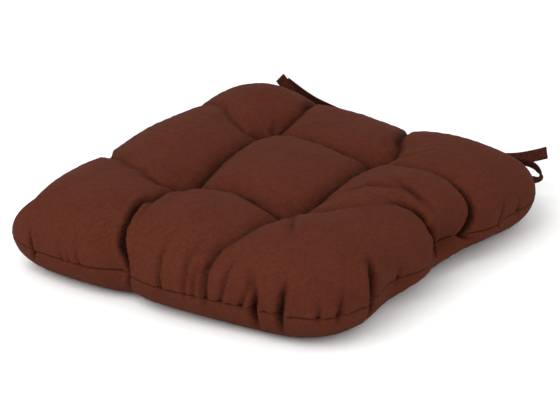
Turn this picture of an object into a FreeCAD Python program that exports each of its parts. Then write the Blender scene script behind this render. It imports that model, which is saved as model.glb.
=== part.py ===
import FreeCAD, Part
import math
import os

import Sketcher
from FreeCAD import Placement, Rotation, Vector

# Tufted chair seat pad. X runs across the chair, the front edge is at -Y, the ties are on the
# back edge at +Y, and Z = 0 is the surface the pad lies on. All sizes are in millimetres.

os.makedirs("parts", exist_ok=True)
doc = FreeCAD.newDocument("seat_pad")

SIZES = [
    ("pad_width", 400, "across the seam, along X"),
    ("pad_depth", 400, "across the seam, along Y"),
    ("pad_height", 84, "crown of a pillow above the chair"),
    ("seam_height", 34, "seam above the chair"),
    ("corner_radius", 75, "corner of the cover, seen from above"),
    ("top_round", "=pad_height / 2", "rounding of the upper edge"),
    ("bottom_round", "=0.8 * seam_height", "rounding of the lower edge"),
    ("rim_rise", 3, "height of the upper edge block above the crowns that trim it"),
    ("fabric", 1.0, "thickness of the cover cloth"),
    ("allowance", 10, "seam allowance turned inwards"),
    ("tuft_spacing", "=pad_width / 3", "between two tufts, and between two pillow crowns"),
    ("crown_radius", "=1.045 * tuft_spacing", "roundness of each of the nine pillows"),
    ("dimple_radius", 15, "mouth of the dimple under a tuft"),
    ("dimple_throat", 5.5, "top of the dimple under a tuft"),
    ("dimple_depth", 10, "depth of the dimple under a tuft"),
    ("twine", 1.4, "diameter of the tufting twine"),
    ("twine_gap", 6, "between the two legs of a tuft loop"),
    ("knot", 3.6, "diameter of the knot under a tuft"),
    ("thread", 0.8, "diameter of the seam thread"),
    ("stitch_play", 0.1, "clearance round sewn thread"),
    ("play", 0.3, "clearance between neighbouring pieces"),
    ("tie_width", 12, "width of a tie"),
    ("tie_thickness", 1.6, "thickness of a tie, folded and stitched"),
    ("tie_bulk", 5, "round rod with the section area of a folded tie"),
    ("tie_offset", 60, "middle of a pair of ties from the middle of the pad"),
    ("tie_pitch", "=tie_width + 2", "between the two ties of a pair"),
    ("tie_reach", 3.2, "how far a tie stands straight out of the seam"),
    ("bartack_length", 8, "bar of stitches across the root of a tie"),
    ("bartack_width", 1.6, "width of that bar"),
    ("bartack_depth", 5, "from the seam to that bar"),
    ("closing_length", 90, "opening in the back seam for the filling, sewn by hand"),
    ("closing_pitch", 6, "between two hand stitches"),
    ("closing_stitch", 3.4, "length of a hand stitch"),
]
sheet = doc.addObject("Spreadsheet::Sheet", "sizes")
for row, (alias, value, meaning) in enumerate(SIZES, 1):
    sheet.set(f"A{row}", "'" + meaning)
    sheet.set(f"B{row}", str(value))
    sheet.setAlias(f"B{row}", alias)
doc.recompute()


def cell(alias):
    return float(sheet.get(alias))


def bind(item, path, formula):
    """Tie one property to the sheet. In a formula, $name is a size of the sheet."""
    item.setExpression(path, formula.replace("$", "sizes."))


def place(item, spot, rotation=Rotation()):
    item.Placement = Placement(Vector(), rotation)
    for axis, formula in zip("xyz", spot):
        bind(item, "Placement.Base." + axis, formula)


def primitive(kind, name, spot, rotation=Rotation(), **sizes):
    item = doc.addObject("Part::" + kind, name)
    for size, formula in sizes.items():
        bind(item, size, formula)
    place(item, spot, rotation)
    return item


def centred_box(name, length, width, height, x, y, z):
    spot = (f"{x} - ({length}) / 2", f"{y} - ({width}) / 2", f"{z} - ({height}) / 2")
    return primitive("Box", name, spot, Length=length, Width=width, Height=height)


def fuse(name, items):
    item = doc.addObject("Part::MultiFuse", name)
    item.Shapes = items
    return item


def cut(name, base, *tools):
    item = doc.addObject("Part::Cut", name)
    item.Base = base
    item.Tool = tools[0] if len(tools) == 1 else fuse(name + "_tools", list(tools))
    return item


def plane(body, role):
    return next(item for item in body.Origin.OriginFeatures if item.Role == role)


def outline_sketch(body, name, inset, low):
    """A rectangle centred on the origin, smaller than the pad's outline by the inset."""
    sketch = body.newObject("Sketcher::SketchObject", name + "_outline")
    sketch.AttachmentSupport = [(plane(body, "XY_Plane"), "")]
    sketch.MapMode = "FlatFace"
    bind(sketch, "AttachmentOffset.Base.z", low)
    half_x = cell("pad_width") / 2
    half_y = cell("pad_depth") / 2
    corners = [Vector(-half_x, -half_y), Vector(half_x, -half_y), Vector(half_x, half_y), Vector(-half_x, half_y)]
    for start, end in zip(corners, corners[1:] + corners[:1]):
        sketch.addGeometry(Part.LineSegment(start, end), False)
    for side in range(4):
        sketch.addConstraint(Sketcher.Constraint("Coincident", side, 2, (side + 1) % 4, 1))
        sketch.addConstraint(Sketcher.Constraint("Vertical" if side % 2 else "Horizontal", side))
    sketch.addConstraint(Sketcher.Constraint("Symmetric", 0, 1, 2, 1, -1, 1))
    width = sketch.addConstraint(Sketcher.Constraint("DistanceX", 0, 1, 0, 2, 2 * half_x))
    depth = sketch.addConstraint(Sketcher.Constraint("DistanceY", 1, 1, 1, 2, 2 * half_y))
    bind(sketch, f"Constraints[{width}]", f"$pad_width - 2 * ({inset})")
    bind(sketch, f"Constraints[{depth}]", f"$pad_depth - 2 * ({inset})")
    return sketch


def fillet(body, base, name, chosen, radius):
    edges = [f"Edge{i}" for i, edge in enumerate(base.Shape.Edges, 1) if chosen(edge)]
    item = body.newObject("PartDesign::Fillet", name)
    item.Base = (base, edges)
    bind(item, "Radius", radius)
    doc.recompute()
    return item


def block(name, inset, low, high, upper_rim="", lower_rim=""):
    """The pad's outline as a solid between two heights, with a rounded rim where one is given."""
    body = doc.addObject("PartDesign::Body", name)
    sketch = outline_sketch(body, name, inset, low)
    pad = body.newObject("PartDesign::Pad", name + "_pad")
    pad.Profile = sketch
    bind(pad, "Length", f"({high}) - ({low})")
    doc.recompute()
    upright = lambda edge: abs(edge.Vertexes[0].Z - edge.Vertexes[-1].Z) > 1e-6
    solid = fillet(body, pad, name + "_corners", upright, f"$corner_radius - ({inset})")
    for rim, level in ((upper_rim, solid.Shape.BoundBox.ZMax), (lower_rim, solid.Shape.BoundBox.ZMin)):
        if rim:
            around = lambda edge: max(abs(v.Z - level) for v in edge.Vertexes) < 1e-6
            fillet(body, solid, name + "_rim", around, f"{rim} - ({inset})")
    return body


def pillows(name, inset, low):
    """The upper half: a rounded block trimmed by nine overlapping balls, one for each pillow."""
    base = block(name + "_block", inset, low, f"$pad_height + $rim_rise - ({inset})", upper_rim="$top_round")
    balls = [
        primitive("Sphere", f"{name}_ball_{column + 1}{row + 1}",
                  (f"{column} * $tuft_spacing", f"{row} * $tuft_spacing", "$pad_height - $crown_radius"),
                  Radius=f"$crown_radius - ({inset})")
        for column in (-1, 0, 1) for row in (-1, 0, 1)
    ]
    item = doc.addObject("Part::Common", name)
    item.Base = base
    item.Tool = fuse(name + "_balls", balls)
    return item


TUFTS = [
    (f"{depth}_{side}", f"{along_x} * $tuft_spacing / 2", f"{along_y} * $tuft_spacing / 2")
    for depth, along_y in (("front", -1), ("back", 1)) for side, along_x in (("left", -1), ("right", 1))
]


def base_half(name, inset, high):
    """The lower half: a rounded block with a dimple under each tuft."""
    base = block(name + "_block", inset, inset, high, lower_rim="$bottom_round")
    dimples = [
        primitive("Cone", f"{name}_dimple_{tuft}", (x, y, "0"), Radius1=f"$dimple_radius + {inset}",
                  Radius2=f"$dimple_throat + {inset}", Height=f"$dimple_depth + {inset}")
        for tuft, x, y in TUFTS
    ]
    return cut(name, base, *dimples)


def needle_holes(name):
    """Two holes for the legs of each tuft's loop, through the whole pad."""
    return fuse(name, [
        primitive("Cylinder", f"{name}_{tuft}_{leg + 1}", (f"{x} + {leg} * $twine_gap / 2", y, "0"),
                  Radius="$twine / 2 + $play", Height="$pad_height")
        for tuft, x, y in TUFTS for leg in (-1, 1)
    ])


def ring(name, inner_inset, outer_inset, half_height):
    """A square ring that follows the seam."""
    low = f"$seam_height - ({half_height})"
    high = f"$seam_height + ({half_height})"
    return cut(name, block(name + "_outer", outer_inset, low, high), block(name + "_inner", inner_inset, low, high))


# Each tie leaves the back seam and lies behind the pad. A route is the middle of the strip, from
# the point where it leaves the seam to its free end: how far across, backwards and upwards.
TIES = {
    "tie_left_upper": (-1, 1, [
        (0, 1, 0), (1, 7.5, -1), (6, 16, -7), (4, 26, -15.5), (-8, 31, -22), (-24, 28, -19),
        (-37, 19, -8), (-47, 10, 7), (-59, 4.5, 22.5), (-71, 1, 37)]),
    "tie_left_lower": (-1, -1, [
        (0, 1, 0), (2, 7.5, 0), (-2, 15, 3), (-15, 19, 7.5), (-31, 19, 12), (-47, 17, 17.5),
        (-63, 14, 26.5), (-77, 10.5, 37)]),
    "tie_right_upper": (1, -1, [
        (0, 1, 0), (1, 8, 0), (9, 15, -1), (27, 17, -2), (51, 16, -1), (74, 16.5, 1.5),
        (96, 22.5, 6), (114, 32, 12)]),
    "tie_right_lower": (1, 1, [
        (0, 1, 0), (1.5, 5.5, -0.5), (11, 8, -2), (29, 6, -2), (51, 6, 0), (69, 6.5, 3),
        (85, 7, 5.5), (101, 7.5, 4), (108, 7.5, -7), (94, 7, -13.5), (82, 8, -23)]),
}
ARC_SHARE = 0.45


def tie_root(side, outer):
    """How far a tie's root lies from the middle of the pad, as a formula."""
    return f"{side} * ($tie_offset + {outer} * $tie_pitch / 2)"


def rounded_path(points):
    """Straight runs joined by tangent arcs, each as large as its two runs allow."""
    edges = []
    radii = []
    start = points[0]
    for before, corner, after in zip(points, points[1:], points[2:]):
        back = (before - corner).normalize()
        ahead = (after - corner).normalize()
        half_turn = (math.pi - back.getAngle(ahead)) / 2
        reach = ARC_SHARE * min((before - corner).Length, (after - corner).Length)
        radius = reach / math.tan(half_turn)
        crest = corner + (back + ahead).normalize() * (radius / math.cos(half_turn) - radius)
        edges.append(Part.LineSegment(start, corner + back * reach).toShape())
        edges.append(Part.Arc(corner + back * reach, crest, corner + ahead * reach).toShape())
        radii.append(round(radius, 1))
        start = corner + ahead * reach
    edges.append(Part.LineSegment(start, points[-1]).toShape())
    return Part.Wire(edges), radii


def tie_rod(name, side, outer, route):
    """A plain round rod along a tie's route, with the section area of the folded strip."""
    leaves = Vector(side * (cell("tie_offset") + outer * cell("tie_pitch") / 2),
                    cell("pad_depth") / 2, cell("seam_height"))
    points = [leaves + Vector(*step) for step in route]
    path, radii = rounded_path(points)
    section = Part.Wire(Part.Circle(points[0], points[1] - points[0], cell("tie_bulk") / 2).toShape())
    rod = doc.addObject("Part::Feature", name + "_rod")
    rod.Shape = path.makePipeShell([section], True, False)
    share = rod.Shape.Volume / (math.pi * cell("tie_bulk") ** 2 / 4 * path.Length)
    print(f"{name}: length {path.Length:.1f}, volume share {share:.4f}, arc radii {radii}")
    return rod


def tie(name, side, outer, route):
    """A tie: its flat root in the seam, pierced for its bar of stitches, and its free length."""
    x = tie_root(side, outer)
    flat = centred_box(name + "_flat", "$tie_width", "$allowance + $tie_reach", "$tie_thickness",
                       x, "$pad_depth / 2 + ($tie_reach - $allowance) / 2", "$seam_height")
    pierced = centred_box(name + "_pierced", "$bartack_length + 2 * $stitch_play",
                          "$bartack_width + 2 * $stitch_play", "2 * $tie_thickness",
                          x, "$pad_depth / 2 - $bartack_depth", "$seam_height")
    return fuse(name, [cut(name + "_root", flat, pierced), tie_rod(name, side, outer, route)])


def tie_slot(name, side, outer):
    """The gap between the two covers that a tie's root fills."""
    return centred_box(name + "_slot", "$tie_width + 2 * $play", "2 * ($allowance + $play)",
                       "$tie_thickness + 2 * $play", tie_root(side, outer), "$pad_depth / 2", "$seam_height")


def bartack(name, side, outer):
    return centred_box(name, "$bartack_length", "$bartack_width", "$tie_thickness + $play",
                       tie_root(side, outer), "$pad_depth / 2 - $bartack_depth", "$seam_height")


# Turned so, a cylinder's or a ball's own seam line stays off the plane of the loop.
QUARTER_TURN = Rotation(Vector(0, 0, 1), 90)


def tuft_twine(name, x, y):
    """A closed loop of twine: two legs through the pad, a turn over the top, a turn and a knot below."""
    low = "$dimple_depth - $twine / 2"
    high = ("$pad_height - $crown_radius + $twine / 2 + sqrt($crown_radius ^ 2 - ($tuft_spacing / 2) ^ 2"
            " - ($tuft_spacing / 2 - $twine_gap / 2) ^ 2)")
    legs = [
        primitive("Cylinder", f"{name}_leg_{leg + 1}", (f"{x} + {leg} * $twine_gap / 2", y, low), QUARTER_TURN,
                  Radius="$twine / 2", Height=f"({high}) - ({low})")
        for leg in (-1, 1)
    ]
    turns = [
        primitive("Torus", f"{name}_{where}_turn", (x, y, level), Rotation(Vector(1, 0, 0), angle),
                  Radius1="$twine_gap / 2", Radius2="$twine / 2", Angle3="180")
        for where, level, angle in (("upper", high, 90), ("lower", low, -90))
    ]
    knot = primitive("Sphere", name + "_knot", (x, y, f"{low} - $twine_gap / 2"), QUARTER_TURN, Radius="$knot / 2")
    return fuse(name, legs + turns + [knot])


def closing_stitches(name):
    """Hand stitches side by side across the middle of the back seam."""
    count = int(cell("closing_length") / cell("closing_pitch"))
    stitches = [
        primitive("Cylinder", f"{name}_{number}",
                  (f"{number - (count - 1) / 2} * $closing_pitch - $closing_stitch / 2",
                   "$pad_depth / 2 - $thread / 2 - $stitch_play", "$seam_height"),
                  Rotation(Vector(0, 1, 0), 90), Radius="$thread / 2", Height="$closing_stitch")
        for number in range(count)
    ]
    item = doc.addObject("Part::Compound", name)
    item.Links = stitches
    return item


# What is cut out of several pieces: the mouth inside the seam, the groove for the seam's thread,
# the slots for the ties and the holes for the twine.
mouth = block("mouth", "$fabric + $allowance", "$seam_height - 2 * $fabric", "$seam_height + 2 * $fabric")
groove = ring("groove", "$thread + $stitch_play", "-$play", "$thread / 2 + $stitch_play")
slots = fuse("slots", [tie_slot(name, side, outer) for name, (side, outer, _) in TIES.items()])
holes = needle_holes("holes")

top_hollow = pillows("top_hollow", "$fabric", "$seam_height + $fabric")
bottom_hollow = base_half("bottom_hollow", "$fabric", "$seam_height - $fabric")
top_cover = cut("top_cover", pillows("top_outside", "0", "$seam_height"), top_hollow, mouth, groove, slots, holes)
bottom_cover = cut("bottom_cover", base_half("bottom_outside", "0", "$seam_height"),
                   bottom_hollow, mouth, groove, slots, holes)

filling_shape = fuse("filling_shape", [
    pillows("filling_top", "$fabric + $play", "$seam_height + $fabric + $play"),
    base_half("filling_bottom", "$fabric + $play", "$seam_height - $fabric - $play"),
    block("filling_middle", "$fabric + $allowance + $play", "$seam_height - 3 * $fabric", "$seam_height + 3 * $fabric"),
])
fibre_filling = cut("fibre_filling", filling_shape, slots, holes)

closing_gap = centred_box("closing_gap", "$closing_length", "$corner_radius", "2 * $thread",
                          "0", "$pad_depth / 2", "$seam_height")
tie_gaps = [
    centred_box(name + "_gap", "$tie_width + 2 * $play", "$corner_radius", "2 * $thread",
                tie_root(side, outer), "$pad_depth / 2", "$seam_height")
    for name, (side, outer, _) in TIES.items()
]
seam_thread = cut("seam_thread", ring("thread_ring", "$thread", "0", "$thread / 2"), closing_gap, *tie_gaps)

pieces = [top_cover, bottom_cover, fibre_filling, seam_thread, closing_stitches("closing_stitches")]
pieces += [tuft_twine("tuft_twine_" + tuft, x, y) for tuft, x, y in TUFTS]
for name, (side, outer, route) in TIES.items():
    pieces.append(tie(name, side, outer, route))
    pieces.append(bartack(name.replace("tie", "bartack"), side, outer))
doc.recompute()

for item in doc.Objects:
    if "Invalid" in item.State or "Error" in item.State:
        raise RuntimeError(f"{item.Name} did not build: {item.State}")
for piece in pieces:
    if piece.Shape.isNull() or not piece.Shape.isValid():
        raise RuntimeError(piece.Name + " has no valid shape")
    piece.Label = piece.Name
for piece in pieces:
    box = piece.Shape.BoundBox
    print(f"{piece.Label}: {len(piece.Shape.Solids)} solids, {piece.Shape.Volume / 1000:.2f} cm3,"
          f" Z {box.ZMin:.1f} to {box.ZMax:.1f}")
    piece.Shape.exportStep(f"parts/{piece.Label}.step")
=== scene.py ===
import math

import bmesh
import bpy
import numpy as np
from mathutils import Matrix, Vector


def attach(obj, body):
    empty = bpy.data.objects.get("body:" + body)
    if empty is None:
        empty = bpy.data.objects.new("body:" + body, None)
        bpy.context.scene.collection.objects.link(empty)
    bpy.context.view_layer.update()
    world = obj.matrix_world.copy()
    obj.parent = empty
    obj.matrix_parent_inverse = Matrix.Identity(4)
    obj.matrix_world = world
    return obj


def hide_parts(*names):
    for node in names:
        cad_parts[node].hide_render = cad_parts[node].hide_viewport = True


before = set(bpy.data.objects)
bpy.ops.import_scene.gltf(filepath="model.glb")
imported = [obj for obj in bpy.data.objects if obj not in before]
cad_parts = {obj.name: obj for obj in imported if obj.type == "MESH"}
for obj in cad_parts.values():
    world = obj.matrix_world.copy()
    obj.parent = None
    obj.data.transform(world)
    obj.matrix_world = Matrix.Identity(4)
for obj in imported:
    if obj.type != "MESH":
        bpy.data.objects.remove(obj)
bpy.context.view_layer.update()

MM = 0.001               # the shapes below are worked out in millimetres
PAD = ("across", "along", "side")


# ---------------------------------------------------------------------------------------------
# Materials
# ---------------------------------------------------------------------------------------------
def linear(colour):
    """An sRGB hex colour as the linear one that a socket takes."""
    channels = [int(colour[start:start + 2], 16) / 255 for start in (1, 3, 5)]
    return (*[c / 12.92 if c <= 0.04045 else ((c + 0.055) / 1.055) ** 2.4 for c in channels], 1.0)


def node(tree, kind, inputs=None, **settings):
    """Adds a node. A value in inputs is either a number or colour, or the socket to link."""
    made = tree.nodes.new(kind)
    for name, value in settings.items():
        setattr(made, name, value)
    for name, value in (inputs or {}).items():
        if isinstance(value, bpy.types.NodeSocket):
            tree.links.new(value, made.inputs[name])
        else:
            made.inputs[name].default_value = value
    return made


def new_material(name):
    material = bpy.data.materials.new(name)
    material.use_nodes = True
    return material, material.node_tree, material.node_tree.nodes["Principled BSDF"]


def wave_scale(spacing):
    """The scale that gives a wave texture one band in each spacing, in metres."""
    return math.tau / (20 * spacing)


def woven_cloth(name, deep, middle, light, spacing=0.0016):
    """Plain-weave cotton, piece-dyed brown. It is matt, with a soft sheen from its short fibres, and
    its threads are uneven. Real threads are 0.5 mm apart, too fine to show, so they are drawn 1.6 mm
    apart. Shade is painted into its colour, darker down in its folds, pleats, seam and creases."""
    material, tree, shader = new_material(name)
    cloth = node(tree, "ShaderNodeAttribute", attribute_name="cloth")
    painted_fold_shade = node(tree, "ShaderNodeAttribute", attribute_name="painted_fold_shade")
    warp = node(tree, "ShaderNodeTexWave", {"Vector": cloth.outputs["Vector"], "Scale": wave_scale(spacing),
                                            "Distortion": 0.6, "Detail": 1.0, "Detail Scale": 0.4})
    weft = node(tree, "ShaderNodeTexWave", {"Vector": cloth.outputs["Vector"], "Scale": wave_scale(spacing),
                                            "Distortion": 0.6, "Detail": 1.0, "Detail Scale": 0.4},
                bands_direction="Y")
    over = node(tree, "ShaderNodeTexChecker", {"Vector": cloth.outputs["Vector"], "Scale": 1 / spacing})
    weave = node(tree, "ShaderNodeMix", {0: over.outputs["Fac"], 2: warp.outputs["Fac"],
                                         3: weft.outputs["Fac"]})
    slubs = node(tree, "ShaderNodeTexNoise", {"Vector": cloth.outputs["Vector"], "Scale": 420.0,
                                              "Detail": 3.0, "Roughness": 0.65})
    dye = node(tree, "ShaderNodeTexNoise", {"Vector": cloth.outputs["Vector"], "Scale": 22.0,
                                            "Detail": 3.0, "Roughness": 0.6})
    threads = node(tree, "ShaderNodeMath", {0: weave.outputs[0], 1: 0.15}, operation="MULTIPLY")
    grain = node(tree, "ShaderNodeMath", {0: slubs.outputs["Fac"], 1: 0.55, 2: threads.outputs[0]},
                 operation="MULTIPLY_ADD")
    patchy = node(tree, "ShaderNodeMath", {0: dye.outputs["Fac"], 1: 0.15, 2: grain.outputs[0]},
                  operation="MULTIPLY_ADD")
    # Painted shade: the colour is darkened down in the folds, pleats, seam groove and crease middles.
    grain_and_fold_shade = node(tree, "ShaderNodeMath", {0: painted_fold_shade.outputs["Fac"], 1: -0.75, 2: patchy.outputs[0]},
                  operation="MULTIPLY_ADD")
    colour = node(tree, "ShaderNodeValToRGB", {"Fac": grain_and_fold_shade.outputs[0]})
    ramp = colour.color_ramp
    ramp.elements[0].position = 0.0
    ramp.elements[0].color = linear(deep)
    ramp.elements[1].position = 0.62
    ramp.elements[1].color = linear(light)
    ramp.elements.new(0.38).color = linear(middle)
    relief = node(tree, "ShaderNodeMath", {0: slubs.outputs["Fac"], 1: 0.8, 2: weave.outputs[0]},
                  operation="MULTIPLY_ADD")
    bump = node(tree, "ShaderNodeBump", {"Height": relief.outputs[0], "Strength": 0.4, "Distance": 0.00025})
    rough = node(tree, "ShaderNodeMapRange", {"Value": slubs.outputs["Fac"], "To Min": 0.82, "To Max": 0.95})
    tree.links.new(colour.outputs["Color"], shader.inputs["Base Color"])
    tree.links.new(rough.outputs["Result"], shader.inputs["Roughness"])
    tree.links.new(bump.outputs["Normal"], shader.inputs["Normal"])
    shader.inputs["Specular IOR Level"].default_value = 0.05
    shader.inputs["Sheen Weight"].default_value = 0.02
    shader.inputs["Sheen Roughness"].default_value = 0.5
    shader.inputs["Sheen Tint"].default_value = linear("#A0604C")
    return material


def twisted_thread(name, dark, light, pitch):
    """Spun polyester thread. Its plies turn round it, so it shows slanting bands, and it shines a
    little where cloth doesn't."""
    material, tree, shader = new_material(name)
    place = node(tree, "ShaderNodeTexCoord")
    plies = node(tree, "ShaderNodeTexWave", {"Vector": place.outputs["Object"], "Scale": wave_scale(pitch),
                                             "Distortion": 1.2, "Detail": 2.0}, bands_direction="DIAGONAL")
    colour = node(tree, "ShaderNodeValToRGB", {"Fac": plies.outputs["Fac"]})
    colour.color_ramp.elements[0].color = linear(dark)
    colour.color_ramp.elements[1].color = linear(light)
    bump = node(tree, "ShaderNodeBump", {"Height": plies.outputs["Fac"], "Strength": 0.6, "Distance": 0.0002})
    tree.links.new(colour.outputs["Color"], shader.inputs["Base Color"])
    tree.links.new(bump.outputs["Normal"], shader.inputs["Normal"])
    shader.inputs["Roughness"].default_value = 0.55
    shader.inputs["Specular IOR Level"].default_value = 0.4
    return material


def loose_fibre(name):
    """Hollow polyester fibre, off-white and fluffy. It is never seen through the cloth."""
    material, tree, shader = new_material(name)
    place = node(tree, "ShaderNodeTexCoord")
    tufts = node(tree, "ShaderNodeTexNoise", {"Vector": place.outputs["Object"], "Scale": 90.0,
                                              "Detail": 6.0, "Roughness": 0.7, "Distortion": 1.5})
    colour = node(tree, "ShaderNodeValToRGB", {"Fac": tufts.outputs["Fac"]})
    colour.color_ramp.elements[0].color = linear("#D9D6CC")
    colour.color_ramp.elements[1].color = linear("#F4F2EA")
    bump = node(tree, "ShaderNodeBump", {"Height": tufts.outputs["Fac"], "Strength": 0.8, "Distance": 0.002})
    tree.links.new(colour.outputs["Color"], shader.inputs["Base Color"])
    tree.links.new(bump.outputs["Normal"], shader.inputs["Normal"])
    shader.inputs["Roughness"].default_value = 0.95
    return material


COVER_CLOTH = woven_cloth("cotton_plain_weave", "#210D07", "#492115", "#542B1D")
TIE_CLOTH = woven_cloth("cotton_tape", "#1E0B07", "#38170F", "#512A1F", spacing=0.0012)
SEWING_THREAD = twisted_thread("polyester_sewing_thread", "#26110C", "#4C251C", 0.0006)
TUFTING_TWINE = twisted_thread("waxed_tufting_twine", "#3A1812", "#7A4638", 0.0012)
FILLING_FIBRE = loose_fibre("polyester_fibre")

# ---------------------------------------------------------------------------------------------
# The pad's shape. Each cover is a square of cloth. A place on it is (across, along), in
# millimetres of cloth from its middle.
# ---------------------------------------------------------------------------------------------
CLOTH = 232               # half the width of the square
CELLS = 110
CROWDING = 0.25           # how much closer the cells are at the rim than in the middle
CORNER_POWER = 5.7
CORNERS = [((-1, -1), (-175, -220)), ((1, -1), (189, -196)), ((-1, 1), (-190, 206)), ((1, 1), (207, 192))]
SEAM_HEIGHT = 31
CROWN = 81
SHOULDER = 33               # height at which the side of the upper cover stands furthest out
UPPER_REACH = 84          # how far that side slopes in
LOWER_REACH = 38
TUCK = ((1, 0), 20, 106, 77)  # the lower cover is drawn under here: as the seam's dips
SIDE_WRAP = 0.12          # angle by which the upper side turns under, down to the seam

TUFTS = {
    "front_left": (-40, -79),
    "back_left": (-59, 71),
    "back_right": (68, 69),
    "front_right": (74, -83),
}
PIT_DEPTH = 9
PIT_WIDTH = 22
DIMPLE_DEPTH = 10
DIMPLE_WIDTH = 17

# Creases part the nine pillows: points (across, along, depth).
CREASES = [
    [(-40, -79, 24), (-45, -117, 13), (-48, -145, 11), (-43, -172, 9), (-34, -192, 8), (-20, -232, 7)],
    [(-40, -79, 24), (-56, -97, 14), (-82, -95, 9), (-112, -85, 8), (-148, -70, 8), (-190, -44, 9),
     (-232, -34, 8)],
    [(-40, -79, 25), (-43, -47, 23), (-52, -7, 20), (-57, 33, 19), (-59, 71, 24)],
    [(-40, -79, 24), (-14, -81, 17), (12, -79, 15), (42, -84, 17), (74, -83, 24)],
    [(-59, 71, 24), (-72, 49, 13), (-99, 59, 9), (-132, 80, 8), (-177, 96, 8), (-232, 104, 8)],
    [(-59, 71, 24), (-57, 94, 19), (-66, 128, 16), (-78, 164, 14), (-86, 232, 11)],
    [(-59, 71, 24), (-23, 73, 17), (12, 68, 16), (42, 61, 17), (68, 69, 24)],
    [(68, 69, 24), (76, 88, 19), (68, 110, 17), (54, 137, 14), (38, 168, 11), (28, 232, 8)],
    [(68, 69, 24), (100, 63, 15), (131, 65, 12), (153, 62, 11), (176, 54, 11), (232, 48, 9)],
    [(68, 69, 24), (74, 23, 19), (78, -17, 20), (80, -52, 23), (74, -83, 25)],
    [(74, -83, 24), (90, -79, 14), (110, -74, 9), (132, -60, 5), (146, -40, 4), (150, -21, 9),
     (165, -13, 13), (192, -13, 15), (232, 4, 16)],
    [(74, -83, 24), (75, -112, 15), (73, -144, 12), (65, -172, 9), (63, -197, 8), (74, -232, 6)],
]
PILLOW_HALF = 70          # from a crease to the crown beside it
CREASE_LIP = 6            # half width of the sharp part of a crease
CREASE_SHADE_WIDTH = 2.5         # half width of the shade painted along its middle
BROAD_SHARE = 0.36        # shares of a crease's depth in its broad, round and sharp parts
ROUND_SHARE = 0.3

# The seam is pulled in where creases meet it: (outward direction, place along it, depth, width).
SEAM_DIPS = [
    ((0, -1), -30, 12, 20), ((0, -1), 126, 8.6, 55),
    ((1, 0), 7, 28, 36), ((1, 0), 40, 11, 22), ((1, 0), -92, 16.5, 37), ((1, 0), 102, 8, 35),
    ((-1, 0), -42, 25, 31), ((-1, 0), 104, 6, 27), ((-1, 0), 14, 3, 40), ((-1, 0), -181, 26, 41),
    ((0, 1), -80, 7, 25), ((0, 1), 30, 8, 28),
]
SEAM_HALF = 205

SWELL = 3                 # furthest that the settling cloth moves
SETTLE_FRAMES = 24
GRIP_STEPS = 40
SEAM_ROWS = 2             # rows of faces added on each side of the seam
SEAM_DEPTH = 1.9
SEAM_LIP = 1.0
SEAM_RIDGE = 0.5

FABRIC = 1.0              # thickness of the cover cloth
FILLING_CLEARANCE = 11
THREAD = 0.8
SEAM_PITCH = 3.2
SEAM_STITCH = 2.2
CLOSING_LENGTH = 90
CLOSING_PITCH = 6
CLOSING_STITCH = 3.4
TWINE = 1.4
TWINE_GAP = 6
KNOT = 3.6
TIE_WIDTH = 12
TIE_THICKNESS = 1.6
TIE_EXIT = (200, 34)      # (along, up) where each tie leaves the seam
TIE_ROOT = 6              # how much of it is held in the seam
CUT_SLANT = 0.12          # slant of the cut end
BARTACK = 8

# Places that hold more or less filling: (across, along, radius, height).
FILLING = [
    (-140, 150, 60, 4), (-150, -140, 60, -7), (-170, 10, 50, 2), (0, 150, 60, -6), (140, 140, 60, -5),
    (150, 10, 60, 3),
]

# Pleats pinched in by the seam: (upper end, place on the rim, depth, half width, run below the seam).
PLEATS = [
    ([(-150, -200), (-152, -232)], 6, 3, 16), ([(-100, -200), (-107, -232)], 2, 2.5, 5),
    ([(-90, -196), (-96, -232)], 1.5, 2.5, 4), ([(-84, -184), (-82, -232)], 2.5, 3, 8),
    ([(-52, -124), (-50, -142), (-40, -170), (-34, -196), (-22, -232)], 10, 2.6, 26),
    ([(14, -166), (16, -192), (26, -232)], 3, 3, 8), ([(46, -164), (44, -188), (56, -232)], 3, 3, 10),
    ([(56, -186), (57, -204), (66, -232)], 3, 3, 8), ([(60, -150), (66, -196), (82, -232)], 4, 3, 12),
    ([(88, -172), (89, -192), (100, -232)], 3, 3, 8), ([(102, -176), (118, -200), (126, -232)], 3, 3, 6),
    ([(114, -184), (138, -222), (142, -232)], 8, 3.5, 30), ([(150, -186), (158, -204), (176, -232)], 7, 3.5, 30),
    ([(202, -200), (228, -232)], 3, 3, 10), ([(198, -166), (232, -204)], 5, 3, 14),
    ([(178, -110), (198, -124), (232, -150)], 9, 4, 30), ([(202, -82), (232, -94)], 3, 3, 12),
    ([(148, -19), (165, -13), (192, -13), (232, 4)], 9, 3.2, 26), ([(152, 61), (176, 54), (232, 48)], 7, 3, 22),
    ([(200, 104), (232, 94)], 5, 3.5, 18), ([(204, 128), (232, 140)], 3, 3, 8),
    ([(68, 96), (58, 124), (38, 168), (28, 232)], 3, 3, 10), ([(-66, 128), (-78, 164), (-86, 232)], 6, 3.5, 20),
    ([(-148, -70), (-190, -44), (-232, -34)], 6, 3.5, 20), ([(-150, 88), (-190, 98), (-232, 104)], 6, 4, 20),
    ([(-192, 22), (-232, 16)], 3, 4, 8), ([(-196, -128), (-232, -134)], 4, 4, 12),
    ([(-200, 146), (-232, 156)], 4, 4, 14), ([(-196, 182), (-232, 204)], 4, 4, 12),
    ([(-28, 190), (-32, 232)], 3, 4, 8), ([(12, 190), (20, 232)], 4, 4, 12), ([(118, 184), (124, 232)], 5, 4, 16),
    ([(-126, 184), (-134, 232)], 5, 4, 16), ([(170, 192), (186, 232)], 4, 4, 12),
]

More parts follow.
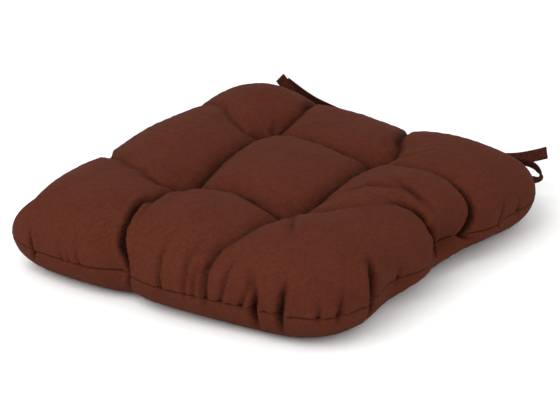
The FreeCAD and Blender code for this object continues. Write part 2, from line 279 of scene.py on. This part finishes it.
# Slack cloth gathers in soft folds beside the tufts and creases: (line, depth, half width).
SLACK = [
    ([(-42, -104), (-44, -130), (-28, -172)], 3, 4), ([(92, -100), (112, -128), (126, -150)], 2.5, 3.5),
    ([(138, 8), (160, 2), (186, -2)], 2.5, 3.5), ([(110, -30), (140, -2), (176, 14)], 2, 4),
    ([(-64, 82), (-72, 100)], 2.5, 2.2), ([(-30, -100), (-16, -150)], 1.5, 5), ([(84, 84), (108, 92)], 2.5, 4),
    ([(-58, -74), (-90, -80)], 1, 4), ([(60, 98), (46, 126)], 1.5, 3), ([(90, -50), (112, -26)], 1.5, 3.5),
]


def from_line(x, y, line):
    """Distance from each place to a line, and the depth of the line there."""
    nearest = np.full(x.shape, 1e9)
    depth = np.zeros(x.shape)
    for (x0, y0, d0), (x1, y1, d1) in zip(line, line[1:]):
        run_x, run_y = x1 - x0, y1 - y0
        along = np.clip(((x - x0) * run_x + (y - y0) * run_y) / (run_x ** 2 + run_y ** 2), 0, 1)
        away = np.hypot(x - x0 - along * run_x, y - y0 - along * run_y)
        depth = np.where(away < nearest, d0 + (d1 - d0) * along, depth)
        nearest = np.minimum(away, nearest)
    return nearest, depth


def rounded(x, y, m):
    """Places on squares moved onto squares with round corners, rounder towards the rim."""
    spread = np.maximum((abs(x / m) ** CORNER_POWER + abs(y / m) ** CORNER_POWER) ** (1 / CORNER_POWER), 1)
    pull = 1 + (1 / spread - 1) * m ** 1.5
    return x * pull, y * pull


def between_corners(x, y):
    """The unit square stretched between the pad's four corners."""
    return [sum((1 + side_x * x) * (1 + side_y * y) * corner[axis]
                for (side_x, side_y), corner in CORNERS) / 4 for axis in (0, 1)]


def drawn_in(x, y, m, outward, place, depth, width):
    """A dip in one side of the square, as deep as depth at that place along it."""
    facing = (outward[0] * x + outward[1] * y) / m > 0.999
    along = (abs(outward[1]) * x + abs(outward[0]) * y) / m * SEAM_HALF
    return depth * np.exp(-((along - place) / width) ** 2) * facing


def stuffed(cloth):
    """Where each place of the two squares lies on the stuffed pad, before its creases."""
    x, y, side = cloth[:, 0] / CLOTH, cloth[:, 1] / CLOTH, cloth[:, 2]
    m = np.maximum(np.maximum(abs(x), abs(y)), 1e-6)
    rim_x, rim_y = between_corners(*rounded(x / m, y / m, np.ones_like(m)))
    far = np.maximum(np.hypot(rim_x, rim_y), 50)
    dip = sum(drawn_in(x, y, m, *one) for one in SEAM_DIPS)
    upper = side >= 0
    reach = np.where(upper, UPPER_REACH, LOWER_REACH + drawn_in(x, y, m, *TUCK))
    wrap = np.where(upper, SIDE_WRAP, 0.0)
    level = 1 - 1.25 * reach / CLOTH
    turn = math.pi / 2 - np.clip((m - level) / (1 - level), 0, 1) * (math.pi / 2 + wrap)
    inner = far - reach * np.cos(wrap)
    radius = np.where(m < level, inner * m / level, inner + reach * np.cos(turn))
    under = SHOULDER + (SHOULDER - SEAM_HEIGHT) * np.sin(turn) / math.sin(SIDE_WRAP)
    above = SHOULDER + (CROWN - SHOULDER) * np.sin(turn)
    z = np.where(upper, np.where(turn < 0, under, above), SEAM_HEIGHT * (1 - np.sin(turn)))
    spread = np.clip(m / level, 0, 1) ** np.where(upper, 3, 1.2)
    gather = 1 - dip / far * np.clip((m - 0.75) / 0.25, 0, 1)
    return np.stack([
        (x * CLOTH * (1 - spread) + rim_x / far * radius * spread) * gather,
        (y * CLOTH * (1 - spread) + rim_y / far * radius * spread) * gather,
        z,
    ], axis=-1)


def sunk(cloth):
    """How far the creases and tufts draw each place in."""
    x, y, side = cloth.T
    rim = 1 - (np.maximum(abs(x), abs(y)) / CLOTH) ** 14
    drop = np.zeros_like(x)
    pit = np.zeros_like(x)
    dimple = np.zeros_like(x)
    for line in CREASES:
        away, depth = from_line(x, y, line)
        near = 1 - np.minimum(away / PILLOW_HALF, 1)
        sharp = np.exp(-(away / CREASE_LIP) ** 1.3)
        part = (BROAD_SHARE * near ** 2 + ROUND_SHARE * (1 - np.sqrt(1 - near ** 2))
                + (1 - BROAD_SHARE - ROUND_SHARE) * sharp)
        drop = np.maximum(drop, depth * part)
    for tuft_x, tuft_y in TUFTS.values():
        away = np.hypot(x - tuft_x, y - tuft_y)
        pit += PIT_DEPTH * np.exp(-(away / PIT_WIDTH) ** 1.4)
        dimple += DIMPLE_DEPTH * np.exp(-(away / DIMPLE_WIDTH) ** 1.6)
    for place_x, place_y, radius, height in FILLING:
        pit -= height * np.exp(-((x - place_x) ** 2 + (y - place_y) ** 2) / radius ** 2)
    return np.where(side >= 0, (drop + pit) * rim, dimple)


def fold_shape(away, half):
    """Across a fold: a sharp groove, with a low ridge on each side."""
    return np.exp(-(away / half) ** 1.2) - 0.3 * np.exp(-((away - 2.2 * half) / half) ** 2)


def pleated(cloth):
    """How far the pleats and slack folds draw each place in."""
    x, y, side = cloth.T
    inward = np.zeros_like(x)
    for line, depth, half, run in PLEATS:
        (from_x, from_y), (rim_x, rim_y) = line[-2:]
        part = run / math.hypot(rim_x - from_x, rim_y - from_y)
        below = (rim_x + (from_x - rim_x) * part, rim_y + (from_y - rim_y) * part)
        above = [(*line[0], 0)] + [(*place, depth * 0.7) for place in line[1:-1]] + [(rim_x, rim_y, depth)]
        away, deep = from_line(x, y, above)
        inward += deep * fold_shape(away, half) * (side >= 0)
        away, deep = from_line(x, y, [(rim_x, rim_y, depth), (*below, 0)])
        inward += deep * fold_shape(away, half) * (side < 0)
    for line, depth, half in SLACK:
        away, deep = from_line(x, y, [(*line[0], depth)] + [(*place, depth) for place in line[1:-1]]
                               + [(*line[-1], 0)])
        inward += deep * fold_shape(away, half) * (side > 0)
    return inward


# ---------------------------------------------------------------------------------------------
# Mesh helpers
# ---------------------------------------------------------------------------------------------
def vertex_values(mesh, name, size):
    """A mesh attribute, or its positions or normals, as an array."""
    values = np.empty(len(mesh.vertices) * size)
    if name in ("co", "normal"):
        mesh.vertices.foreach_get(name, values)
    else:
        mesh.attributes[name].data.foreach_get("vector" if size == 3 else "value", values)
    return values.reshape(-1, size) if size > 1 else values


def move_vertices(mesh, places):
    mesh.vertices.foreach_set("co", places.ravel())
    mesh.update()


def show(name, mesh, material, replaced):
    """Adds a finished piece, which stands for the CAD nodes replaced."""
    piece = bpy.data.objects.new(name, mesh)
    bpy.context.scene.collection.objects.link(piece)
    for face in mesh.polygons:
        face.use_smooth = True
    mesh.materials.append(material)
    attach(piece, "root")
    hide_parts(*replaced)
    return piece


# ---------------------------------------------------------------------------------------------
# The covers and their filling
# ---------------------------------------------------------------------------------------------
def cut_covers():
    """Two squares of cloth, joined round the rim. "cloth" holds (across, along, side) in metres, with
    side +1 mm on the upper square, -1 mm on the lower one and 0 on the rim."""
    bm = bmesh.new()
    cloth = bm.verts.layers.float_vector.new("cloth")
    bmesh.ops.create_grid(bm, x_segments=CELLS, y_segments=CELLS, size=1)
    for vert in bm.verts:
        across, along = ((1 + CROWDING - CROWDING * abs(t)) * t * CLOTH * MM for t in vert.co.xy)
        vert[cloth] = (across, along, MM)
        vert.co = vert[cloth]
    lower = bmesh.ops.duplicate(bm, geom=bm.verts[:] + bm.edges[:] + bm.faces[:])["geom"]
    for part in lower:
        if isinstance(part, bmesh.types.BMVert):
            part[cloth].z = -MM
    bmesh.ops.reverse_faces(bm, faces=[part for part in lower if isinstance(part, bmesh.types.BMFace)])
    rim = [vert for vert in bm.verts if vert.is_boundary]
    for vert in rim:
        vert[cloth].z = 0
        vert.co.z = 0
    for part in lower:
        if isinstance(part, bmesh.types.BMVert):
            part.co.z = part[cloth].z
    bmesh.ops.remove_doubles(bm, verts=rim, dist=MM / 100)
    mesh = bpy.data.meshes.new("covers")
    bm.to_mesh(mesh)
    bm.free()
    return mesh


def stuff_covers(mesh):
    """Lays the covers over the filling and draws in the creases and tufts."""
    cloth = vertex_values(mesh, "cloth", 3) / MM
    move_vertices(mesh, stuffed(cloth) * MM)
    normal = vertex_values(mesh, "normal", 3)
    places = vertex_values(mesh, "co", 3) - normal * sunk(cloth)[:, None] * MM
    places[:, 2] = np.maximum(places[:, 2], 0)
    move_vertices(mesh, places)


def settle(mesh):
    """The filling presses the cloth out, and the cloth wrinkles between its creases, tufts and seam.
    Cloth that a crease or the seam holds barely moves, and none moves more than SWELL."""
    shaped = vertex_values(mesh, "co", 3)
    held = np.clip(sunk(vertex_values(mesh, "cloth", 3) / MM) / 24, 0, 1)
    from_rim = CLOTH - abs(vertex_values(mesh, "cloth", 3)[:, :2]).max(axis=1) / MM
    grip = np.clip(0.42 + 0.5 * held + 0.5 * np.exp(-(from_rim / 60) ** 2), 0, 1)
    piece = bpy.data.objects.new("settling", mesh)
    bpy.context.scene.collection.objects.link(piece)
    group = piece.vertex_groups.new(name="grip")
    for step in range(GRIP_STEPS + 1):
        alike = np.flatnonzero(np.round(grip * GRIP_STEPS) == step)
        group.add(alike.tolist(), step / GRIP_STEPS, "REPLACE")
    cloth = piece.modifiers.new("cloth", "CLOTH")
    weave = cloth.settings
    weave.quality = 5
    weave.mass = 0.3
    weave.tension_stiffness = weave.compression_stiffness = 18
    weave.shear_stiffness = 6
    weave.bending_stiffness = 0.35
    weave.use_pressure = True
    weave.uniform_pressure_force = 2.5
    weave.shrink_min = -0.035
    weave.vertex_group_mass = "grip"
    weave.pin_stiffness = 1.0
    weave.effector_weights.gravity = 0
    cloth.collision_settings.use_collision = False
    scene = bpy.context.scene
    for moment in range(1, SETTLE_FRAMES + 1):
        scene.frame_set(moment)
    settled = piece.evaluated_get(bpy.context.evaluated_depsgraph_get()).to_mesh()
    moved = vertex_values(settled, "co", 3) - shaped
    scene.frame_set(1)
    bpy.data.objects.remove(piece)
    far = np.maximum(np.linalg.norm(moved, axis=1), 1e-9)[:, None]
    places = shaped + moved * np.minimum(1, SWELL * MM / far)
    places[:, 2] = np.maximum(places[:, 2], 0)
    move_vertices(mesh, places)


def refined(mesh):
    """The mesh with each face divided once by subdivision."""
    carrier = bpy.data.objects.new("carrier", mesh)
    bpy.context.scene.collection.objects.link(carrier)
    finer = carrier.modifiers.new("finer", "SUBSURF")
    finer.levels = finer.render_levels = 1
    finished = bpy.data.meshes.new_from_object(carrier.evaluated_get(bpy.context.evaluated_depsgraph_get()))
    bpy.data.objects.remove(carrier)
    return finished


def sew_seam(mesh):
    """Adds rows of faces beside the rim, where finish_folds draws the seam in between them."""
    bm = bmesh.new()
    bm.from_mesh(mesh)
    cloth = bm.verts.layers.float_vector["cloth"]
    beside = [edge for edge in bm.edges
              if sum(abs(vert[cloth].z) < MM / 4 for vert in edge.verts) == 1]
    bmesh.ops.subdivide_edges(bm, edges=beside, cuts=SEAM_ROWS, use_grid_fill=True)
    bm.to_mesh(mesh)
    bm.free()


def finish_folds(mesh):
    """Folds the pleats, draws in the seam, and stores the shade painted into the folds and crease middles."""
    cloth = vertex_values(mesh, "cloth", 3) / MM
    from_rim = CLOTH - np.maximum(abs(cloth[:, 0]), abs(cloth[:, 1]))
    inward = pleated(cloth)
    inward += SEAM_DEPTH * np.exp(-from_rim / SEAM_LIP)
    inward -= SEAM_RIDGE * np.exp(-((from_rim - 3 * SEAM_LIP) / (2 * SEAM_LIP)) ** 2)
    normal = vertex_values(mesh, "normal", 3)
    places = vertex_values(mesh, "co", 3) - normal * inward[:, None] * MM
    places[:, 2] = np.maximum(places[:, 2], 0)
    move_vertices(mesh, places)
    # Painted shade: darker along the middle of each crease, and in proportion to how far folds, pleats and seam
    # are drawn in.
    crease_shade = np.zeros_like(inward)
    for line in CREASES:
        away, depth = from_line(cloth[:, 0], cloth[:, 1], line)
        crease_shade = np.maximum(crease_shade, depth / 24 * np.exp(-away / CREASE_SHADE_WIDTH) * (cloth[:, 2] >= 0))
    mesh.attributes["painted_fold_shade"].data.foreach_set("value", np.clip(inward / 8 + crease_shade, 0, 1))


def seam_line(mesh):
    """The seam's places and the ways out of the pad there, in order round it."""
    cloth = vertex_values(mesh, "cloth", 3)
    rim = np.flatnonzero(abs(cloth[:, 2]) < MM / 10)
    rim = rim[np.argsort(np.arctan2(cloth[rim, 1], cloth[rim, 0]))]
    return vertex_values(mesh, "co", 3)[rim], vertex_values(mesh, "normal", 3)[rim]


def side_of(mesh, sign, name):
    """A copy of one cover."""
    bm = bmesh.new()
    bm.from_mesh(mesh)
    cloth = bm.verts.layers.float_vector["cloth"]
    other = [face for face in bm.faces if sign * sum(vert[cloth].z for vert in face.verts) < 0]
    bmesh.ops.delete(bm, geom=other, context="FACES")
    kept = bpy.data.meshes.new(name)
    bm.to_mesh(kept)
    bm.free()
    return kept


covers = cut_covers()
stuff_covers(covers)
settle(covers)
settled = covers.copy()
covers = refined(covers)
# Holds the shade painted into the folds, pleats, seam and crease middles.
covers.attributes.new("painted_fold_shade", "FLOAT", "POINT")
sew_seam(covers)
finish_folds(covers)

seam_places, seam_normals = seam_line(covers)


def walled(piece):
    """Gives a cover the thickness of its cloth, inwards."""
    wall = piece.modifiers.new("cloth_thickness", "SOLIDIFY")
    wall.thickness = FABRIC * MM
    wall.offset = -1
    return piece


upper_cover = walled(show("upper_cover", side_of(covers, 1, "upper_cover"), COVER_CLOTH,
                          ["top_cover"]))
lower_cover = walled(show("lower_cover", side_of(covers, -1, "lower_cover"), COVER_CLOTH,
                          ["bottom_cover"]))


def fill_pad():
    """The fibre inside, clear of the deepest pleats."""
    move_vertices(settled, vertex_values(settled, "co", 3)
                  - vertex_values(settled, "normal", 3) * FILLING_CLEARANCE * MM)
    show("filling", settled, FILLING_FIBRE, ["fibre_filling"])


fill_pad()


# ---------------------------------------------------------------------------------------------
# Sewing
# ---------------------------------------------------------------------------------------------
def stitch(bm, middle, along, outward, length, thickness):
    """One stitch: a rounded bead of thread."""
    along, outward = Vector(along).normalized(), Vector(outward).normalized()
    across = along.cross(outward).normalized()
    axes = Matrix((across * thickness / 2, outward * thickness / 2, along * length / 2)).transposed()
    bmesh.ops.create_uvsphere(bm, u_segments=6, v_segments=5, radius=1,
                              matrix=Matrix.Translation(middle) @ axes.to_4x4())


def finished_mesh(bm, name):
    """The mesh of a bmesh, with every face turned outwards."""
    bmesh.ops.recalc_face_normals(bm, faces=bm.faces[:])
    mesh = bpy.data.meshes.new(name)
    bm.to_mesh(mesh)
    bm.free()
    return mesh


def along_seam(pitch):
    """Evenly spaced places on the seam, with its direction and the way out of the pad."""
    closed = np.vstack([seam_places, seam_places[:1]])
    outward = np.vstack([seam_normals, seam_normals[:1]])
    run = np.concatenate([[0], np.cumsum(np.linalg.norm(np.diff(closed, axis=0), axis=1))])
    stops = np.arange(0, run[-1], pitch)

    def at(values, where):
        return np.stack([np.interp(where % run[-1], run, values[:, axis]) for axis in range(3)], axis=-1)

    ahead = at(closed, stops + pitch / 2) - at(closed, stops - pitch / 2)
    return at(closed, stops), ahead, at(outward, stops)


def in_closing(place):
    """Whether a place on the seam is in the stretch that is sewn by hand."""
    return place[1] > 0 and abs(place[0]) < CLOSING_LENGTH / 2 * MM


def sew_machine_seam():
    bm = bmesh.new()
    for place, ahead, outward in zip(*along_seam(SEAM_PITCH * MM)):
        if not in_closing(place):
            stitch(bm, place + outward * THREAD / 2 * MM, ahead, outward, SEAM_STITCH * MM, THREAD * MM)
    show("seam_stitches", finished_mesh(bm, "seam_stitches"), SEWING_THREAD, ["seam_thread"])


def sew_closing():
    """Slanted hand stitches, which draw the two folded edges together."""
    bm = bmesh.new()
    for place, ahead, outward in zip(*along_seam(CLOSING_PITCH * MM)):
        if in_closing(place):
            ahead = Vector(ahead).normalized()
            up = Vector(outward).cross(ahead).normalized()
            stitch(bm, place + outward * THREAD * 1.6 * MM, up + ahead * 0.5, outward,
                   CLOSING_STITCH * MM, THREAD * 1.2 * MM)
    show("hand_stitches", finished_mesh(bm, "hand_stitches"), SEWING_THREAD,
         ["closing_stitches"])


sew_machine_seam()
sew_closing()


def spline_places(route):
    """Places along the smooth line that a route's points draw, in metres."""
    curve = bpy.data.curves.new("route", "CURVE")
    curve.dimensions = "3D"
    curve.resolution_u = 10
    line = curve.splines.new("NURBS")
    line.points.add(len(route) - 1)
    for point, place in zip(line.points, route):
        point.co = (*place, 1)
    line.order_u = 3
    line.use_endpoint_u = True
    carrier = bpy.data.objects.new("route", curve)
    mesh = bpy.data.meshes.new_from_object(carrier)
    places = [vert.co.copy() for vert in mesh.vertices]
    bpy.data.objects.remove(carrier)
    bpy.data.curves.remove(curve)
    bpy.data.meshes.remove(mesh)
    return places


def directions(places):
    """The direction of a line at each of its places."""
    ends = [places[0]] + places + [places[-1]]
    return [(after - before).normalized() for before, after in zip(ends, ends[2:])]


def loft(bm, rings, runs=None):
    """A closed skin from ring to ring. runs gives each ring's distance along a strip of cloth."""
    cloth = bm.verts.layers.float_vector.get("cloth") or bm.verts.layers.float_vector.new("cloth")
    ring = [bm.verts.new(place) for place in rings[0]]
    edges = [bm.edges.new(pair) for pair in zip(ring, ring[1:] + ring[:1])]
    bm.faces.new(ring)
    skins = [ring]
    for places in rings[1:]:
        made = set(bmesh.ops.extrude_edge_only(bm, edges=edges)["geom"])
        ring = [next(edge.other_vert(vert) for edge in vert.link_edges if edge.other_vert(vert) in made)
                for vert in ring]
        edges = [bm.edges.get(pair) for pair in zip(ring, ring[1:] + ring[:1])]
        for vert, place in zip(ring, places):
            vert.co = place
        skins.append(ring)
    bm.faces.new(ring)
    if runs:
        for run, ring in zip(runs, skins):
            for count, vert in enumerate(ring):
                vert[cloth] = (run, TIE_WIDTH * MM * 2 * count / len(ring), 0)


def thread_rings(places, thickness, sides=8):
    """Round rings along a thread."""
    rings = []
    across = None
    for place, ahead in zip(places, directions(places)):
        across = (across or ahead.orthogonal()) - ahead * (across or ahead.orthogonal()).dot(ahead)
        across.normalize()
        up = ahead.cross(across)
        turns = [math.tau * count / sides for count in range(sides)]
        rings.append([place + (across * math.cos(turn) + up * math.sin(turn)) * thickness / 2
                      for turn in turns])
    return rings


def cloth_place(mesh, across, along, sign):
    """Where a place of the cloth lies on the finished pad."""
    cloth = vertex_values(mesh, "cloth", 3) / MM
    away = np.hypot(cloth[:, 0] - across, cloth[:, 1] - along) + 1000 * (cloth[:, 2] * sign < 0.1)
    return Vector(vertex_values(mesh, "co", 3)[np.argmin(away)])


def tie_tuft(corner, across, along):
    """Twine through the pad: a loop over the cloth on top, and a knot with two tails below."""
    top = cloth_place(covers, across, along, 1)
    bottom = cloth_place(covers, across, along, -1)
    half = Vector((TWINE_GAP / 2 * MM, 0, 0))
    lift = Vector((0, 0, TWINE / 2 * MM))
    route = [bottom - lift, bottom - half / 2, bottom - half + lift * 6, top - half - lift * 3,
             top - half + lift * 1.6, top + half + lift * 1.6, top + half - lift * 3,
             bottom + half + lift * 6, bottom + half / 2, bottom - lift]
    bm = bmesh.new()
    loft(bm, thread_rings(spline_places(route), TWINE * MM))
    knot = bottom - lift * 2
    for tilt in (0.5, -0.6):
        turn = [knot + Vector((math.cos(a) * KNOT / 3.4, math.sin(a) * KNOT / 3.4,
                               math.sin(2 * a + tilt) * KNOT / 5)) * MM
                for a in np.linspace(tilt, tilt + math.tau * 0.93, 14)]
        loft(bm, thread_rings(turn, TWINE * MM))
    for side in (-1, 1):
        tail = [knot, knot + Vector((side * 3, 1, 0.3)) * MM, knot + Vector((side * 6, 3 * side, 0.8)) * MM,
                knot + Vector((side * 8, 4, 0.6)) * MM]
        loft(bm, thread_rings(spline_places(tail), TWINE * 0.9 * MM))
    show("twine_" + corner, finished_mesh(bm, "twine_" + corner), TUFTING_TWINE,
         ["tuft_twine_" + corner])


for corner, (across, along) in TUFTS.items():
    tie_tuft(corner, across, along)


# ---------------------------------------------------------------------------------------------
# Ties
# ---------------------------------------------------------------------------------------------
def strip_section():
    """Half the outline of a folded strip, from one edge to the other: (across, up)."""
    edge, thick = TIE_WIDTH / 2, TIE_THICKNESS / 2
    return [(-edge, 0), (-edge + 0.25, thick * 0.75), (-edge + 0.9, thick), (-edge / 3, thick * 0.8),
            (edge / 3, thick * 0.8), (edge - 0.9, thick), (edge - 0.25, thick * 0.75), (edge, 0)]


def back_seam(x):
    """The seam's place on the back edge, at that distance across the pad in metres."""
    behind = seam_places[seam_places[:, 1] > 0.12]
    return Vector(behind[np.argmin(abs(behind[:, 0] - x))])


def make_tie(name, exit_x, lying, route):
    """A folded strip of cloth. It leaves the seam flat, then turns until its width points along
    lying. A row of stitches closes it near one edge, and a bartack holds it in the seam."""
    exit_place = Vector((exit_x, *TIE_EXIT)) * MM
    root = back_seam(exit_place.x)
    inward = Vector((0, TIE_ROOT * MM, 0))
    points = [root - inward, root + inward * 0.8] + [exit_place + Vector(point) * MM for point in route]
    places = spline_places(points)
    steps = [(after - before).length for before, after in zip(places, places[1:])]
    runs = [0] + list(np.cumsum(steps))
    upper = strip_section()
    outline = upper + [(across, -up) for across, up in upper[-2:0:-1]]
    rings, edge_row = [], []
    for place, ahead, run in zip(places, directions(places), runs):
        turned = min(max((run / runs[-1] - 0.1) / 0.25, 0), 1)
        across = Vector((1, 0, 0)).lerp(Vector(lying), turned * turned * (3 - 2 * turned))
        across = (across - ahead * across.dot(ahead)).normalized()
        up = ahead.cross(across)
        ragged = CUT_SLANT * max(0, 1 - (runs[-1] - run) / 0.004)
        rings.append([place + (across * a + up * b + ahead * ragged * a) * MM for a, b in outline])
        edge_row.append((place + (across * (TIE_WIDTH / 2 - 1.6) + up * TIE_THICKNESS * 0.52) * MM, ahead, up))
    bm = bmesh.new()
    loft(bm, rings, runs)
    strip = show("strip_" + name, finished_mesh(bm, "strip_" + name), TIE_CLOTH,
                 ["tie_" + name])
    bm = bmesh.new()
    reached = 0
    for (place, ahead, up), run in zip(edge_row, runs):
        if run >= reached:
            stitch(bm, place, ahead, up, 2.2 * MM, 0.5 * MM)
            reached = run + 3.2 * MM
    stitches = show("strip_stitches_" + name, finished_mesh(bm, "strip_stitches_" + name), SEWING_THREAD,
                    [])
    bm = bmesh.new()
    bars = 13
    zigzag = [root + Vector((-BARTACK / 2 + BARTACK * count / (bars - 1), 2.6 + 0.8 * (-1) ** count,
                             TIE_THICKNESS / 2 + 0.2)) * MM for count in range(bars)]
    loft(bm, thread_rings(zigzag, THREAD * MM, 6))
    show("tack_" + name, finished_mesh(bm, "tack_" + name), SEWING_THREAD,
         ["bartack_" + name])


TIES = {
    "left_upper": (-67, (0.5, 0.4, 0.77), [
        (1, 7.5, -1), (6, 16, -7), (4, 26, -15.5), (-8, 31, -22), (-24, 28, -19), (-37, 19, -8),
        (-47, 10, 7), (-59, 4.5, 22.5), (-71, 1, 37)]),
    "left_lower": (-53, (0.25, -0.4, 0.88), [
        (2, 7.5, 0), (-2, 15, 3), (-15, 19, 5), (-31, 19, 8), (-47, 15.5, 13), (-64, 12, 21.5),
        (-80, 9, 31.5)]),
    "right_upper": (53, (-0.35, 0.2, 0.88), [
        (1, 8, 0), (9, 15, -1), (27, 17, -2), (51, 16, -3), (74, 16.5, -1.5), (96, 22.5, 3),
        (114, 32, 10)]),
    "right_lower": (67, (0.26, -0.54, 0.79), [
        (1.5, 5.5, -0.5), (11, 8, -2), (29, 6, -2), (51, 6, 0), (69, 6.5, 3), (85, 7, 5.5),
        (101, 7.5, 4), (108, 7.5, -7), (94, 7, -13.5), (82, 8, -23)]),
}
for name, (exit_x, lying, route) in TIES.items():
    make_tie(name, exit_x, lying, route)

# ---------------------------------------------------------------------------------------------
# Camera, light and floor
# ---------------------------------------------------------------------------------------------
AZIMUTH = math.radians(35.48)
ELEVATION = math.radians(24.45)
DISTANCE = 1.5

back = Vector((
    math.sin(AZIMUTH) * math.cos(ELEVATION),
    -math.cos(AZIMUTH) * math.cos(ELEVATION),
    math.sin(ELEVATION),
))
camera_data = bpy.data.cameras.new("camera")
camera_data.lens = 100.9
camera_data.sensor_width = 36
camera_data.shift_x = 0.0075
camera_data.shift_y = 0.0462
camera = bpy.data.objects.new("camera", camera_data)
camera.location = back * DISTANCE
camera.rotation_euler = back.to_track_quat("Z", "Y").to_euler()
bpy.context.scene.collection.objects.link(camera)
bpy.context.scene.camera = camera


def softbox(name, place, size, power):
    """A square soft light that faces the pad."""
    data = bpy.data.lights.new(name, "AREA")
    data.energy = power
    data.size = size
    light = bpy.data.objects.new(name, data)
    light.location = place
    light.rotation_euler = Vector(place).to_track_quat("Z", "Y").to_euler()
    bpy.context.scene.collection.objects.link(light)


softbox("key", (-0.35, -1.2, 1.4), 1.6, 22)
softbox("fill", (1.4, -0.9, 1.0), 1.2, 7)

world = bpy.data.worlds.new("studio")
world.use_nodes = True
world.node_tree.nodes["Background"].inputs["Color"].default_value = (1.0, 1.0, 1.0, 1.0)
world.node_tree.nodes["Background"].inputs["Strength"].default_value = 0.95
bpy.context.scene.world = world
bpy.context.scene.view_settings.view_transform = "Standard"

floor_bm = bmesh.new()
bmesh.ops.create_grid(floor_bm, x_segments=1, y_segments=1, size=4)
floor_mesh = bpy.data.meshes.new("floor")
floor_bm.to_mesh(floor_mesh)
floor_bm.free()
floor = bpy.data.objects.new("floor", floor_mesh)
bpy.context.scene.collection.objects.link(floor)
floor_material, floor_tree, floor_shader = new_material("matt_white_paper")
grain = node(floor_tree, "ShaderNodeTexNoise", {"Scale": 60.0, "Detail": 3.0})
tone = node(floor_tree, "ShaderNodeValToRGB", {"Fac": grain.outputs["Fac"]})
tone.color_ramp.elements[0].color = linear("#F2F2F1")
tone.color_ramp.elements[1].color = linear("#F7F7F6")
floor_tree.links.new(tone.outputs["Color"], floor_shader.inputs["Base Color"])
floor_shader.inputs["Roughness"].default_value = 0.9
floor_mesh.materials.append(floor_material)
